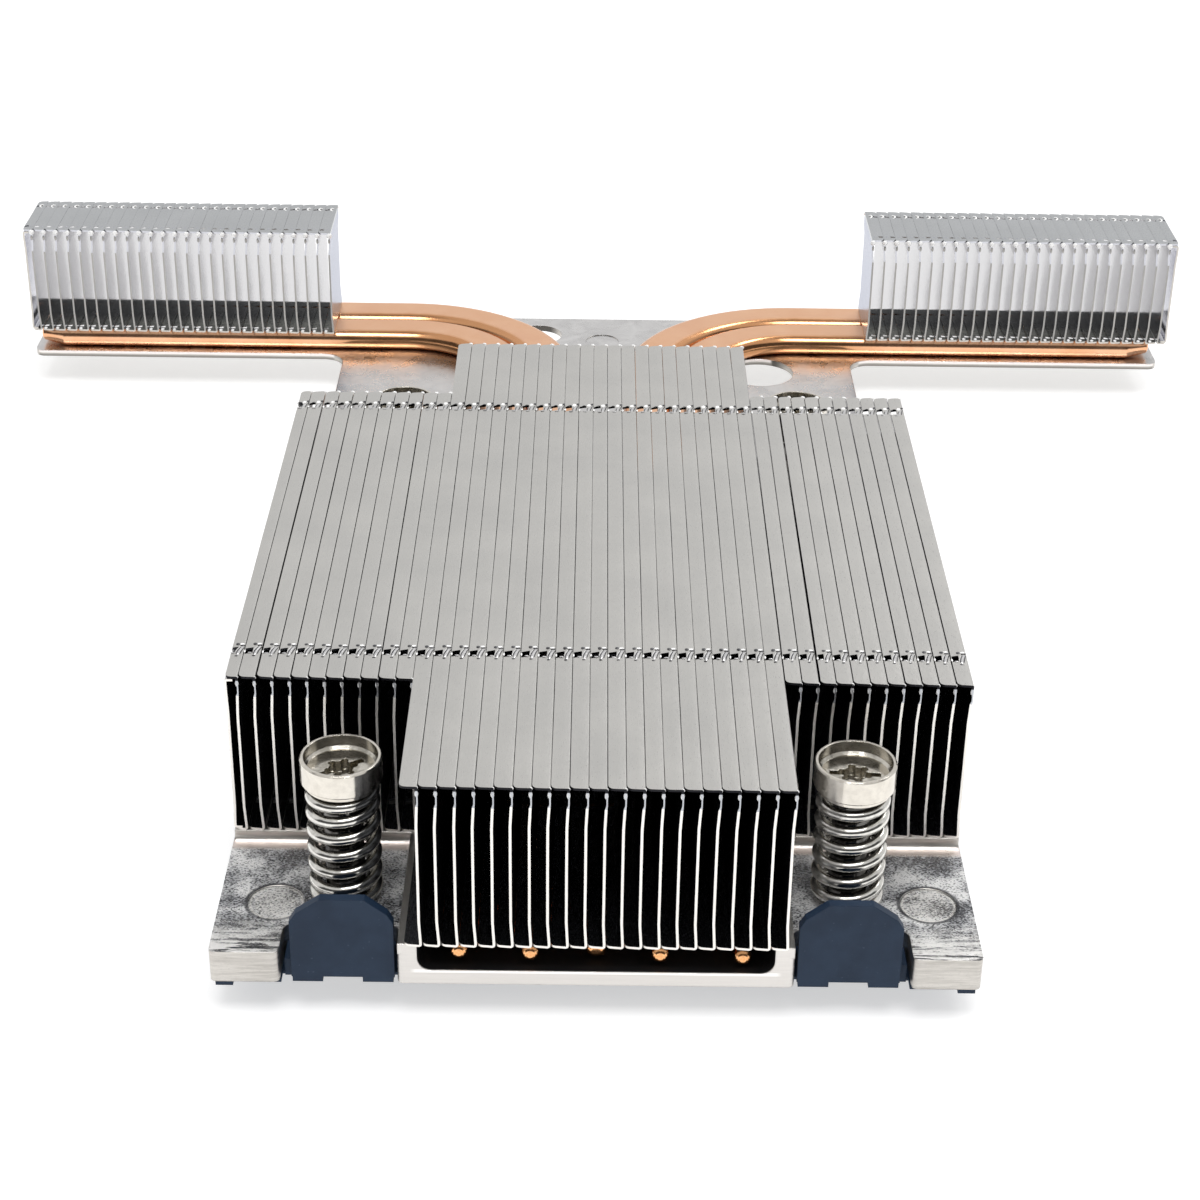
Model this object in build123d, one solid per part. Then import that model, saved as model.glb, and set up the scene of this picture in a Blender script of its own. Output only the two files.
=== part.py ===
from build123d import *
import math
import os

os.makedirs("parts", exist_ok=True)

# Passive heatsink for a 1U server processor, in millimetres.
# Origin: centre of the processor contact face, midway between the four
# screws. +Y runs to the remote fin wings at the rear, +Z is up.

# ---------------------------------------------------------------- dimensions
screw_dx = 56.0            # screw spacing across
screw_dy = 94.0            # screw spacing front to rear
screw_x, screw_y = screw_dx / 2, screw_dy / 2

# heights
z_contact = 0.0            # processor contact face
z_under = 1.0              # underside of the casting
z_plate = 1.8              # underside of the thin rear plate
z_floor = 2.8              # channel floor and top of the rear plate
z_ear = 4.95               # top of the four ears
z_plat = 6.3               # top of the platform, where the fins sit
z_top = 27.0               # top of the main fins
z_wing = 24.3              # top of the wing fins

# plan of the casting
base_hw = 42.0             # half width over the ears
base_front = -58.35
base_rear = 59.2
centre_hw = 21.5           # half width of the centre section
chan_hw = 19.4             # half width of the heat-pipe channel
chan_r = 1.6               # fillet in the channel's lower corners
notch_hw = 6.4             # half width of a front notch, centred on a screw
notch_depth = 5.3
pad_w, pad_l = 54.0, 74.0  # raised contact pad

# rear plate, a T in plan, a little off the middle
plate_x = -0.55
trunk_hw = 42.7
arm_front = 110.1
plate_rear = 126.85
plate_hw = 95.05
plate_holes = [(26.8, 104.5, 5.6), (-10.7, 119.6, 4.1)]   # x, y, radius

# fin stack
t_fin = 0.4                # sheet thickness
stack_hw = 41.85           # half width of the full stack
nose_hw = 20.75            # half width of the long centre fins
nose_front, nose_rear = -58.85, 58.45
stack_front, stack_rear = -37.1, 40.8
flange_gap = 0.10
bend_c = 0.28              # chamfer standing for the bend's outside
jog = 0.15                 # stiffening step in each web
rows_y = (-31.2, 36.1)     # interlock rows of the main stack
slot_x0, slot_w, slot_l = 0.5, 1.1, 1.4

# wings
wing_in, wing_out, wing_n, wing_pitch = 44.85, 95.65, 26, 1.968
wing_y0, wing_y1 = 110.35, 124.2
wing_rows = (112.0, 121.7)

# heat pipes: 6 mm round, pressed flat
pipe_w, pipe_t = 7.3, 3.44
pipe_z = 2.82 + pipe_t / 2
pipe_pitch = 7.6
bend_y, bend_x = 97.35, 32.7   # common centre of both bends on a side
tip_w, tip_t = 1.95, 1.88      # closed tip after swaging
tip_front, tip_len, cone_len = -57.4, 1.5, 6.5
end_w, end_t, end_len, end_cone = 4.6, 2.5, 0.5, 3.4   # blunt ends in the wings
end_left, end_right = 94.8, 93.4
centre_rear = 56.5
# how far each front tip lies off its pipe's middle, in x and z
tip_off = {
    "left_outer": (0.27, -0.15), "left_inner": (0.42, -0.30), "centre": (0.0, -0.60),
    "right_inner": (-0.62, -0.40), "right_outer": (0.77, -0.60),
}

# captive screws
head_r, head_h, head_wall, cup_depth = 4.5, 3.0, 0.43, 1.6
head_top = 23.1
neck_r, neck_h = 4.1, 0.6
shank_r, groove_r, thread_r = 2.2, 1.7, 1.98
groove_z0, groove_z1 = 0.15, 0.95
thread_top, thread_end = -0.3, -3.0
hole_r = 2.8
ring_t, ring_ro, ring_ri, ring_rg = 0.7, 4.0, 1.75, 2.6
coil_r, wire_r, coil_pitch = 3.5, 0.65, 2.25

# plastic carrier
car_hw, car_front, car_rear = 41.5, -57.85, 57.9
car_t = 0.4
frame_ox, frame_oy = 33.0, 41.3     # outside of the window frame
win_x, win_y = 29.5, 38.5           # half sizes of the processor window
frame_bottom = -3.5
tab_t = 1.15


# ------------------------------------------------------------------- helpers
def block(x0, x1, y0, y1, z0, z1):
    return Pos((x0 + x1) / 2, (y0 + y1) / 2, (z0 + z1) / 2) * Box(
        x1 - x0, y1 - y0, z1 - z0
    )


def prism_y(points, y0, y1):
    """Polygon given in X and Z, extruded from y0 to y1."""
    wire = Wire.make_polygon([Vector(x, y0, z) for x, z in points], close=True)
    return extrude(Face(wire), amount=y1 - y0, dir=(0, 1, 0))


def prism_z(points, z0, z1):
    """Polygon given in X and Y, extruded from z0 to z1."""
    wire = Wire.make_polygon([Vector(x, y, z0) for x, y in points], close=True)
    return extrude(Face(wire), amount=z1 - z0, dir=(0, 0, 1))


def save(shape, name):
    export_step(shape, f"parts/{name}.step")


# ------------------------------------------------------------- base casting
def ears():
    """Slab outline with the four ears, two front notches and round corners."""
    outline = Pos(0, (base_front + base_rear) / 2) * Rectangle(
        2 * base_hw, base_rear - base_front
    )
    for s in (-1, 1):
        outline -= Pos(s * screw_x, base_front + notch_depth / 2 - 0.5) * Rectangle(
            2 * notch_hw, notch_depth + 1.0
        )
    front = [v for v in outline.vertices() if v.Y < base_front + 0.01]
    inner = [
        v
        for v in outline.vertices()
        if base_front + 0.01 < v.Y < base_front + notch_depth + 1
    ]
    outline = fillet(front, 0.7)
    inner = [
        v
        for v in outline.vertices()
        if base_front + 1.5 < v.Y < base_front + notch_depth + 1
    ]
    return fillet(inner, 1.2)


base = Pos(0, 0, z_under) * extrude(ears(), amount=z_ear - z_under)

# platform under the wide stack, and the centre section full length
base += block(-stack_hw, stack_hw, stack_front, stack_rear, z_ear, z_plat)
base += block(-centre_hw, centre_hw, base_front, base_rear, z_ear, z_plat)

# cast fillet at the foot of the platform's front and rear steps
for y, s in ((stack_front, -1), (stack_rear, 1)):
    r = 0.7
    arc = []
    for i in range(5):
        a = math.radians(90 * i / 4)
        arc.append((y + s * r * (1 - math.sin(a)), z_ear + r * (1 - math.cos(a))))
    pts = [(y, z_ear)] + arc
    for x0, x1 in ((-stack_hw, -centre_hw), (centre_hw, stack_hw)):
        wire = Wire.make_polygon([Vector(x0, py, pz) for py, pz in pts], close=True)
        base += extrude(Face(wire), amount=x1 - x0, dir=(1, 0, 0))

# thin rear plate
tee = Pos(plate_x, (base_rear - 6 + arm_front + 4) / 2) * Rectangle(
    2 * trunk_hw, arm_front + 4 - (base_rear - 6)
)
tee += Pos(plate_x, (arm_front + plate_rear) / 2) * Rectangle(
    2 * plate_hw, plate_rear - arm_front
)
inner = [
    v
    for v in tee.vertices()
    if abs(v.Y - arm_front) < 0.01 and abs(abs(v.X - plate_x) - trunk_hw) < 0.01
]
tee = fillet(inner, 3.5)
outer = [v for v in tee.vertices() if abs(abs(v.X - plate_x) - plate_hw) < 0.01]
tee = fillet(outer, 1.5)
for hx, hy, hr in plate_holes:
    tee -= Pos(hx, hy) * Circle(hr)
base += Pos(0, 0, z_plate) * extrude(tee, amount=z_floor - z_plate)

# heat-pipe channel, open at both ends, with filleted lower corners
chan = [(-chan_hw, z_plat + 1)]
for i in range(7):
    a = math.radians(90 * i / 6)
    chan.append(
        (
            -chan_hw + chan_r * (1 - math.cos(a)),
            z_floor + chan_r * (1 - math.sin(a)),
        )
    )
chan += [(-x, z) for x, z in reversed(chan)]
base -= prism_y(chan, base_front - 1, base_rear + 1)

# contact pad, screw holes, ejector marks
base += block(-pad_w / 2, pad_w / 2, -pad_l / 2, pad_l / 2, z_contact, z_under)
for sx in (-1, 1):
    for sy in (-1, 1):
        base -= Pos(sx * screw_x, sy * screw_y, 0) * Cylinder(hole_r, 30)
for x, y, z, r in ((-35.7, -49.1, z_ear, 3.2), (37.1, -48.3, z_ear, 3.2), (0.4, 117.1, z_floor, 2.8)):
    base -= Pos(x, y, z) * Cylinder(r, 0.24)
save(base, "base_casting")


# ---------------------------------------------------------- plastic carrier
car = block(-car_hw, car_hw, car_front + 1.5, car_rear, z_under - car_t, z_under)
for s in (-1, 1):
    # strips along the front edge, left open at the notches
    x0, x1 = sorted((s * 34.3, s * car_hw))
    car += block(x0, x1, car_front, car_front + 1.5, z_under - car_t, z_under)
    # corner feet
    for y0 in (car_front, car_rear - 2.0):
        x0, x1 = sorted((s * 39.6, s * car_hw))
        car += block(x0, x1, y0, y0 + 2.0, 0.1, z_under)
    # filler in the notch, and the tab that stands in front of the spring
    x0, x1 = sorted((s * 22.1, s * 34.0))
    car += block(x0, x1, car_front + tab_t, base_front + notch_depth - 0.3, 0.7, 2.9)
    tx0, tx1 = 21.9, 33.15
    tab = [
        (tx0, 1.4), (tx1, 1.4), (tx1, 8.55), (tx1 - 0.7, 9.7),
        (tx1 - 3.4, 11.6), (tx0 + 3.0, 11.6), (tx0 + 0.6, 9.7), (tx0, 8.55),
    ]
    car += prism_y([(s * x, z) for x, z in tab], car_front, car_front + tab_t)
    for a, b in ((tx0 + 0.15, tx0 + 3.5), (tx1 - 3.4, tx1 - 0.1)):
        x0, x1 = sorted((s * a, s * b))
        car += block(x0, x1, car_front, car_front + tab_t, 0.75, 1.4)
# window frame that holds the processor, with cut corners
c = 3.0
ring = [
    (-frame_ox, -frame_oy + c), (-frame_ox + c, -frame_oy),
    (frame_ox - c, -frame_oy), (frame_ox, -frame_oy + c),
    (frame_ox, frame_oy - c), (frame_ox - c, frame_oy),
    (-frame_ox + c, frame_oy), (-frame_ox, frame_oy - c),
]
car += prism_z(ring, frame_bottom, z_under)
car -= block(-win_x, win_x, -win_y, win_y, frame_bottom - 1, z_under + 1)
for sx in (-1, 1):
    for sy in (-1, 1):
        car -= Pos(sx * screw_x, sy * screw_y, 0) * Cylinder(5.2, 8)
# finger reliefs in the long walls, and retaining lips in the short ones
for s in (-1, 1):
    x0, x1 = sorted((s * (win_x - 0.1), s * (frame_ox + 0.1)))
    car -= block(x0, x1, -9, 9, frame_bottom - 0.1, frame_bottom + 1.6)
save(car, "carrier_frame")


# ---------------------------------------------------------------- heat pipes
def slot_face(w, t, origin, normal):
    """Flattened tube section: flats above and below, round sides."""
    plane = Plane(origin=origin, x_dir=Vector(0, 0, 1).cross(Vector(*normal)), z_dir=normal)
    return plane * SlotOverall(w, t)


def run(p, q):
    d = Vector(*q) - Vector(*p)
    n = d.normalized()
    return extrude(slot_face(pipe_w, pipe_t, p, tuple(n)), amount=d.length, dir=n)


def tip(p, n, off=(0, 0), w=tip_w, t=tip_t, cone=cone_len, length=tip_len):
    """Swaged cone and rounded closed end, starting at p and pointing along n.
    The end lies off the pipe's middle by off, in x and z."""
    n = Vector(*n)
    p = Vector(*p)
    q = p + Vector(off[0], 0, off[1])
    r = min(0.62, length)
    steps = [(p, 0, pipe_w, pipe_t), (q, cone, w, t)]
    if length > r:
        steps.append((q, cone + length - r, w, t))
    for share, inset in ((0.35, 0.06), (0.68, 0.24), (0.90, 0.46), (1.0, 0.68)):
        steps.append(
            (q, cone + length - r + share * r, w - 2 * inset * 0.9, t - 2 * inset * 0.9)
        )
    return loft(
        [slot_face(sw, st, tuple(c + n * d), tuple(n)) for c, d, sw, st in steps],
        ruled=True,
    )


def bent_pipe(s, x, off):
    """Pipe at +-x in the channel that turns to side s behind the stack."""
    r = bend_x - x
    y_row = bend_y + r
    y0 = tip_front + tip_len + cone_len
    pipe = run((s * x, y0, pipe_z), (s * x, bend_y, pipe_z))
    pipe += tip((s * x, y0, pipe_z), (0, -1, 0), off)
    pipe += revolve(
        slot_face(pipe_w, pipe_t, (s * x, bend_y, pipe_z), (0, 1, 0)),
        axis=Axis((s * bend_x, bend_y, 0), (0, 0, -s)),
        revolution_arc=90,
    )
    x1 = (end_right if s > 0 else end_left) - end_len - end_cone
    pipe += run((s * bend_x, y_row, pipe_z), (s * x1, y_row, pipe_z))
    pipe += tip(
        (s * x1, y_row, pipe_z), (s, 0, 0), (0, 0), end_w, end_t, end_cone, end_len
    )
    return pipe


for s, side in ((-1, "left"), (1, "right")):
    for x, place in ((pipe_pitch, "inner"), (2 * pipe_pitch, "outer")):
        where = f"{side}_{place}"
        save(bent_pipe(s, x, tip_off[where]), f"heat_pipe_{where}")
y0 = tip_front + 1.2 + tip_len + cone_len
y1 = centre_rear - tip_len - cone_len
centre = run((0, y0, pipe_z), (0, y1, pipe_z))
centre += tip((0, y0, pipe_z), (0, -1, 0), tip_off["centre"], w=2.3)
centre += tip((0, y1, pipe_z), (0, 1, 0))
save(centre, "heat_pipe_centre")


# ---------------------------------------------------------------------- fins
def fin(xk, reach, y0, y1, z0, z1, rows, side=-1):
    """Folded fin: web with its outer face at xk and two flanges of the given
    reach towards side, with a stiffening step near each end of the web."""
    h = z1 - z0
    za, zb = z0 + h / 6, z1 - h / 5
    t, c, j = t_fin, bend_c, jog
    prof = [
        (-reach, z0), (-c, z0), (0, z0 + c), (0, za), (-j, za + j),
        (-j, zb - j), (0, zb), (0, z1 - c), (-c, z1), (-reach, z1),
        (-reach, z1 - t), (-t, z1 - t), (-t, zb), (-t - j, zb - j),
        (-t - j, za + j), (-t, za), (-t, z0 + t), (-reach, z0 + t),
    ]
    body = prism_y([(xk - side * x, z) for x, z in prof], y0, y1)
    cuts = []
    # the free corners of both flanges are clipped
    for y, d in ((y0, 1), (y1, -1)):
        corner = [
            (xk + side * (reach + 0.1), y - 0.1 * d),
            (xk + side * (reach - 0.75), y - 0.1 * d),
            (xk + side * (reach + 0.1), y + 1.4 * d),
        ]
        cuts.append(prism_z(corner, z0 - 1, z0 + 2 * t))
        cuts.append(prism_z(corner, z1 - 2 * t, z1 + 1))
    # interlock windows, which end just inside the web
    w = min(slot_w, reach - slot_x0 - 0.2)
    for y in rows:
        xa, xb = sorted((xk + side * slot_x0, xk + side * (slot_x0 + w)))
        cuts.append(block(xa, xb, y - slot_l / 2, y + slot_l / 2, z0 - 1, z0 + 2 * t))
        cuts.append(block(xa, xb, y - slot_l / 2, y + slot_l / 2, z1 - 2 * t, z1 + 1))
    return body - cuts


def webs():
    p_left = (stack_hw - nose_hw) / 10.8
    p_mid = 2 * nose_hw / 21
    p_right = (stack_hw - nose_hw) / 11
    left = [(-nose_hw - (11 - k) * p_left, p_left) for k in range(1, 12)]
    mid = [(-nose_hw + (k - 11) * p_mid, p_mid) for k in range(12, 33)]
    right = [(nose_hw + (k - 32) * p_right, p_right) for k in range(33, 44)]
    return left, mid, right


left, mid, right = webs()
left[0] = (left[0][0], left[0][0] + stack_hw + flange_gap)
save(
    Compound(
        children=[
            fin(x, p - flange_gap, stack_front, stack_rear, z_plat, z_top, rows_y)
            for x, p in left
        ]
    ),
    "side_fins_left",
)
save(
    Compound(
        children=[
            fin(x, p - flange_gap, nose_front, nose_rear, z_plat, z_top, rows_y)
            for x, p in mid
        ]
    ),
    "centre_fins",
)
save(
    Compound(
        children=[
            fin(x, p - flange_gap, stack_front, stack_rear, z_plat, z_top, rows_y)
            for x, p in right
        ]
    ),
    "side_fins_right",
)

def end_fin(x, side, y0, y1, z0, z1):
    """Shallow channel that closes a row of fins: outer face at x on the given
    side, lips tucked between the flanges of the last fin."""
    e0, e1 = z0 + t_fin + 0.05, z1 - t_fin - 0.05
    t, c, lip = t_fin, bend_c, 0.95
    prof = [
        (0, e0 + c), (c, e0), (lip, e0), (lip, e0 + t), (t, e0 + t),
        (t, e1 - t), (lip, e1 - t), (lip, e1), (c, e1), (0, e1 - c),
    ]
    return prism_y([(x - side * u, z) for u, z in prof], y0, y1)


save(end_fin(-stack_hw, -1, stack_front, stack_rear, z_plat, z_top), "end_fin")

for s, side in ((-1, "left"), (1, "right")):
    row = []
    for i in range(wing_n):
        x = wing_in + i * wing_pitch
        reach = wing_pitch - flange_gap if i < wing_n - 1 else wing_out - x
        row.append(
            fin(s * x, reach, wing_y0, wing_y1, z_plat, z_wing, wing_rows, side=s)
        )
    save(Compound(children=row), f"wing_fins_{side}")
    save(
        end_fin(s * wing_out, s, wing_y0, wing_y1, z_plat, z_wing),
        f"wing_end_fin_{side}",
    )


# ------------------------------------------- captive screws, springs, rings
def turned(points):
    """Solid turned about the Z axis from a profile of radius and height."""
    wire = Wire.make_polygon([Vector(r, 0, z) for r, z in points], close=True)
    return revolve(Face(wire), axis=Axis.Z)


def screw():
    top = head_top
    floor = top - cup_depth
    low = top - head_h
    neck = low - neck_h
    body = turned(
        [
            (0, thread_end), (thread_r - 0.6, thread_end),
            (thread_r, thread_end + 0.6), (thread_r, thread_top),
            (thread_r - 0.1, thread_top + 0.1), (thread_r - 0.1, groove_z0),
            (groove_r, groove_z0), (groove_r, groove_z1),
            (shank_r, groove_z1), (shank_r, neck), (neck_r - 0.15, neck),
            (neck_r, neck + 0.15), (neck_r, low), (head_r - 0.2, low),
            (head_r, low + 0.2), (head_r, top - 0.15), (head_r - 0.15, top),
            (head_r - head_wall, top), (head_r - head_wall, floor + 0.3),
            (head_r - head_wall - 0.3, floor), (0, floor),
        ]
    )
    # drive recess: six rounded lobes and a slot across them
    recess = Cylinder(1.35, 1.5, align=(Align.CENTER, Align.CENTER, Align.MIN))
    for i in range(6):
        a = math.radians(60 * i)
        recess += Pos(1.45 * math.cos(a), 1.45 * math.sin(a), 0) * Cylinder(
            0.42, 1.5, align=(Align.CENTER, Align.CENTER, Align.MIN)
        )
    recess += Rot(0, 0, 15) * Pos(0, 0, 0.65) * Box(5.6, 0.8, 1.7)
    return body - Pos(0, 0, floor - 1.4) * recess


def retaining_ring():
    """E ring: a C with three lugs that reach into the screw's groove."""
    ring = Circle(ring_ro) - Circle(ring_rg)
    for deg in (90, 205, 335):
        ring += Rot(0, 0, deg) * Pos((ring_ri + ring_rg) / 2 + 0.25, 0) * Rectangle(
            ring_rg - ring_ri + 0.9, 1.5
        )
    ring -= Circle(ring_ri)
    ring -= Pos(0, -ring_ro) * Rectangle(3.0, 2 * (ring_ro - 0.9))
    return extrude(ring, amount=ring_t)


def spring():
    z0 = z_ear + wire_r + 0.02
    z1 = head_top - head_h - neck_h - wire_r - 0.03
    path = Helix(pitch=coil_pitch, height=z1 - z0, radius=coil_r)
    section = Plane(
        origin=path @ 0, x_dir=(0, 0, 1), z_dir=path % 0
    ) * Circle(wire_r)
    coil = sweep(section, path=path, is_frenet=True)
    return Pos(0, 0, z0) * coil


one_screw, one_ring, one_spring = screw(), retaining_ring(), spring()
for sy, f in ((-1, "front"), (1, "rear")):
    for sx, g in ((-1, "left"), (1, "right")):
        at = Pos(sx * screw_x, sy * screw_y, 0)
        save(at * Rot(0, 0, -20 * sx) * one_screw, f"captive_screw_{f}_{g}")
        save(at * one_spring, f"spring_{f}_{g}")
        save(at * Pos(0, 0, 0.2) * one_ring, f"retaining_ring_{f}_{g}")

print("left/mid/right pitch",
      [round(g[1][1], 3) for g in (left, mid, right)])
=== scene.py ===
import math
import random

import bmesh
import bpy
from mathutils import Matrix, Vector


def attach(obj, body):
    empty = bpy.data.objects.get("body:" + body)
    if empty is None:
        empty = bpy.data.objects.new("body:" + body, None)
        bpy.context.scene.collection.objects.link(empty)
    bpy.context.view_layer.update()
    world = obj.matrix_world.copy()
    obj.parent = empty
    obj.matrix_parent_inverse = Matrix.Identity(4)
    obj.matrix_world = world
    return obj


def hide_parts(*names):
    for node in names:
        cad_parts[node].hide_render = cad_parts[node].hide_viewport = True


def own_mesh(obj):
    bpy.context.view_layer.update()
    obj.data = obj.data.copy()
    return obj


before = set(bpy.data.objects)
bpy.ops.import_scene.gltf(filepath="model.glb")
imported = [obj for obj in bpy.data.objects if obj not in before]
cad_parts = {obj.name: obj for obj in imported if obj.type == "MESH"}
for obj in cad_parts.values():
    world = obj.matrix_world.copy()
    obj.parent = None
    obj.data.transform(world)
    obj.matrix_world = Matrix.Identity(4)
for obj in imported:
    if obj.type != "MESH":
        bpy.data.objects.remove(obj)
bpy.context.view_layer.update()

MM = 0.001
scene = bpy.context.scene


# ------------------------------------------------------------------ materials
class Mat:
    """A node material whose coordinates run in millimetres of the part frame."""

    def __init__(self, name, color=(0.5, 0.5, 0.5), metallic=0.0, rough=0.5):
        self.m = bpy.data.materials.new(name)
        self.m.use_nodes = True
        self.t = self.m.node_tree
        self.t.nodes.clear()
        self.out = self.t.nodes.new("ShaderNodeOutputMaterial")
        self.p = self.t.nodes.new("ShaderNodeBsdfPrincipled")
        self.t.links.new(self.p.outputs[0], self.out.inputs[0])
        self.p.inputs["Base Color"].default_value = (*color, 1)
        self.p.inputs["Metallic"].default_value = metallic
        self.p.inputs["Roughness"].default_value = rough
        tc = self.t.nodes.new("ShaderNodeTexCoord")
        mp = self.t.nodes.new("ShaderNodeMapping")
        mp.inputs["Scale"].default_value = (1000, 1000, 1000)
        self.t.links.new(tc.outputs["Object"], mp.inputs["Vector"])
        self.co = mp.outputs[0]
        self.normal = tc.outputs["Normal"]

    def put(self, socket, value):
        if hasattr(value, "links"):
            self.t.links.new(value, socket)
        else:
            socket.default_value = value

    def scaled(self, s, offset=(0, 0, 0)):
        mp = self.t.nodes.new("ShaderNodeMapping")
        mp.inputs["Scale"].default_value = s
        mp.inputs["Location"].default_value = offset
        self.t.links.new(self.co, mp.inputs["Vector"])
        return mp.outputs[0]

    def noise(self, scale, detail=2.0, rough=0.5, co=None, dist=0.0):
        n = self.t.nodes.new("ShaderNodeTexNoise")
        n.inputs["Scale"].default_value = scale
        n.inputs["Detail"].default_value = detail
        n.inputs["Roughness"].default_value = rough
        n.inputs["Distortion"].default_value = dist
        self.t.links.new(co or self.co, n.inputs["Vector"])
        return n.outputs[0]

    def voronoi(self, scale, feature="F1", co=None, rand=1.0):
        n = self.t.nodes.new("ShaderNodeTexVoronoi")
        n.feature = feature
        n.inputs["Scale"].default_value = scale
        n.inputs["Randomness"].default_value = rand
        self.t.links.new(co or self.co, n.inputs["Vector"])
        return n.outputs["Distance"]

    def ramp(self, fac, stops, smooth=True):
        n = self.t.nodes.new("ShaderNodeValToRGB")
        e = n.color_ramp.elements
        while len(e) < len(stops):
            e.new(0.5)
        for el, (pos, col) in zip(e, stops):
            el.position = pos
            el.color = (*col, 1) if len(col) == 3 else col
        n.color_ramp.interpolation = "EASE" if smooth else "LINEAR"
        self.t.links.new(fac, n.inputs[0])
        return n.outputs[0]

    def span(self, x, a, b, c=0.0, d=1.0, smooth=False):
        """Maps x from a..b to c..d, clamped."""
        n = self.t.nodes.new("ShaderNodeMapRange")
        if smooth:
            n.interpolation_type = "SMOOTHSTEP"
        n.inputs["From Min"].default_value = a
        n.inputs["From Max"].default_value = b
        n.inputs["To Min"].default_value = c
        n.inputs["To Max"].default_value = d
        self.t.links.new(x, n.inputs["Value"])
        return n.outputs[0]

    def math(self, op, a, b=None, c=None):
        n = self.t.nodes.new("ShaderNodeMath")
        n.operation = op
        for i, v in enumerate((a, b, c)):
            if v is not None:
                self.put(n.inputs[i], v)
        return n.outputs[0]

    def axis(self, which, vec=None):
        n = self.t.nodes.new("ShaderNodeSeparateXYZ")
        self.t.links.new(vec or self.co, n.inputs[0])
        return n.outputs["XYZ".index(which)]

    def mix(self, fac, a, b):
        n = self.t.nodes.new("ShaderNodeMix")
        n.data_type = "RGBA"
        self.put(n.inputs["Factor"], fac)
        for key, v in (("A", a), ("B", b)):
            s = next(x for x in n.inputs if x.name == key and x.type == "RGBA")
            self.put(s, (*v, 1) if isinstance(v, tuple) else v)
        return next(x for x in n.outputs if x.type == "RGBA")

    def band(self, x, a, b, soft=0.05):
        """1 between a and b, with soft edges."""
        return self.math(
            "MULTIPLY",
            self.span(x, a - soft, a + soft),
            self.span(x, b - soft, b + soft, 1.0, 0.0),
        )

    def bump(self, height, distance_mm, strength=1.0, chain=None):
        n = self.t.nodes.new("ShaderNodeBump")
        n.inputs["Distance"].default_value = distance_mm * MM
        self.put(n.inputs["Strength"], strength)
        self.t.links.new(height, n.inputs["Height"])
        if chain is not None:
            self.t.links.new(chain, n.inputs["Normal"])
        return n.outputs[0]

    def edge(self, radius_mm, samples=4):
        n = self.t.nodes.new("ShaderNodeBevel")
        n.samples = samples
        n.inputs["Radius"].default_value = radius_mm * MM
        return n.outputs[0]

    def set(self, **kw):
        for key, v in kw.items():
            name = {"color": "Base Color", "rough": "Roughness", "normal": "Normal"}[key]
            if key == "color" and isinstance(v, tuple):
                v = (*v, 1)
            self.put(self.p.inputs[name], v)
        return self.m


def sheet_metal(name, light, dark, r0, r1, streak=(6.0, 0.35, 6.0), depth=0.004, tint=None, metal=1.0):
    """Rolled and plated sheet: fine lengthwise drawing marks over a soft mottle."""
    m = Mat(name, light, metal, r0)
    if tint:
        m.p.inputs["Specular Tint"].default_value = (*tint, 1)
    marks = m.noise(3.0, 3.0, 0.6, m.scaled(streak))
    cloud = m.noise(0.12, 3.0, 0.55)
    fine = m.noise(4.0, 2.0, 0.6)
    tone = m.math("ADD", m.math("MULTIPLY", marks, 0.45), m.math("MULTIPLY", cloud, 0.55))
    col = m.mix(m.span(tone, 0.35, 0.65), dark, light)
    n = m.bump(marks, depth, 0.5)
    n = m.bump(fine, depth * 0.7, 0.4, n)
    m.set(color=col, rough=m.span(m.math("ADD", marks, m.math("MULTIPLY", fine, 0.5)), 0.55, 0.95, r0, r1), normal=n)
    return m.m


EVEN = (2.0, 2.0, 2.0)
FIN = sheet_metal("fin_sheet", (0.640, 0.628, 0.602), (0.570, 0.562, 0.543), 0.27, 0.39)
FIN_SIDE = sheet_metal("fin_side", (0.70, 0.69, 0.69), (0.58, 0.58, 0.59), 0.24, 0.36)
FIN_EDGE = sheet_metal("fin_cut_edge", (0.98, 0.95, 0.905), (0.91, 0.875, 0.825), 0.34, 0.48, EVEN, 0.01)
FIN_LIP = sheet_metal("fin_shaded_edge", (0.030, 0.030, 0.034), (0.015, 0.015, 0.018), 0.40, 0.55, EVEN, 0.01)
# grey copy of the fins' cut edge for the webs' upper front edges: painted shade
FIN_UPPER_EDGE_SHADE = sheet_metal("fin_upper_edge_painted_shade", (0.62, 0.635, 0.66), (0.42, 0.435, 0.47), 0.30, 0.42, EVEN, 0.006)
# near-black web faces between the fins: painted shade for the dark gaps
FIN_WEB_SHADE = sheet_metal("fin_web_painted_shade", (0.135, 0.139, 0.150), (0.070, 0.073, 0.082), 0.22, 0.34)
BRIGHT = sheet_metal("fin_bright", (0.97, 0.96, 0.95), (0.90, 0.89, 0.88), 0.15, 0.24, EVEN, 0.006)
SHADE = sheet_metal("fin_shade", (0.16, 0.158, 0.165), (0.07, 0.07, 0.078), 0.30, 0.45, EVEN, 0.01)
WING_TOP = sheet_metal("wing_sheet", (0.53, 0.543, 0.556), (0.475, 0.488, 0.500), 0.24, 0.36, (6.0, 1.2, 6.0))
WING_LAST = sheet_metal("wing_mirror", (0.83, 0.83, 0.85), (0.78, 0.78, 0.80), 0.06, 0.12)
# diffuse white for the dots on the fin corners and hooks: painted highlights
HIGHLIGHT_DOT = sheet_metal("painted_highlight_dot", (1.0, 0.995, 0.99), (0.96, 0.955, 0.95), 0.34, 0.46, EVEN, 0.004, metal=0.0)
WING_SIDE = sheet_metal("wing_side", (0.60, 0.605, 0.645), (0.52, 0.525, 0.565), 0.18, 0.28, tint=(0.72, 0.74, 0.80))
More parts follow.
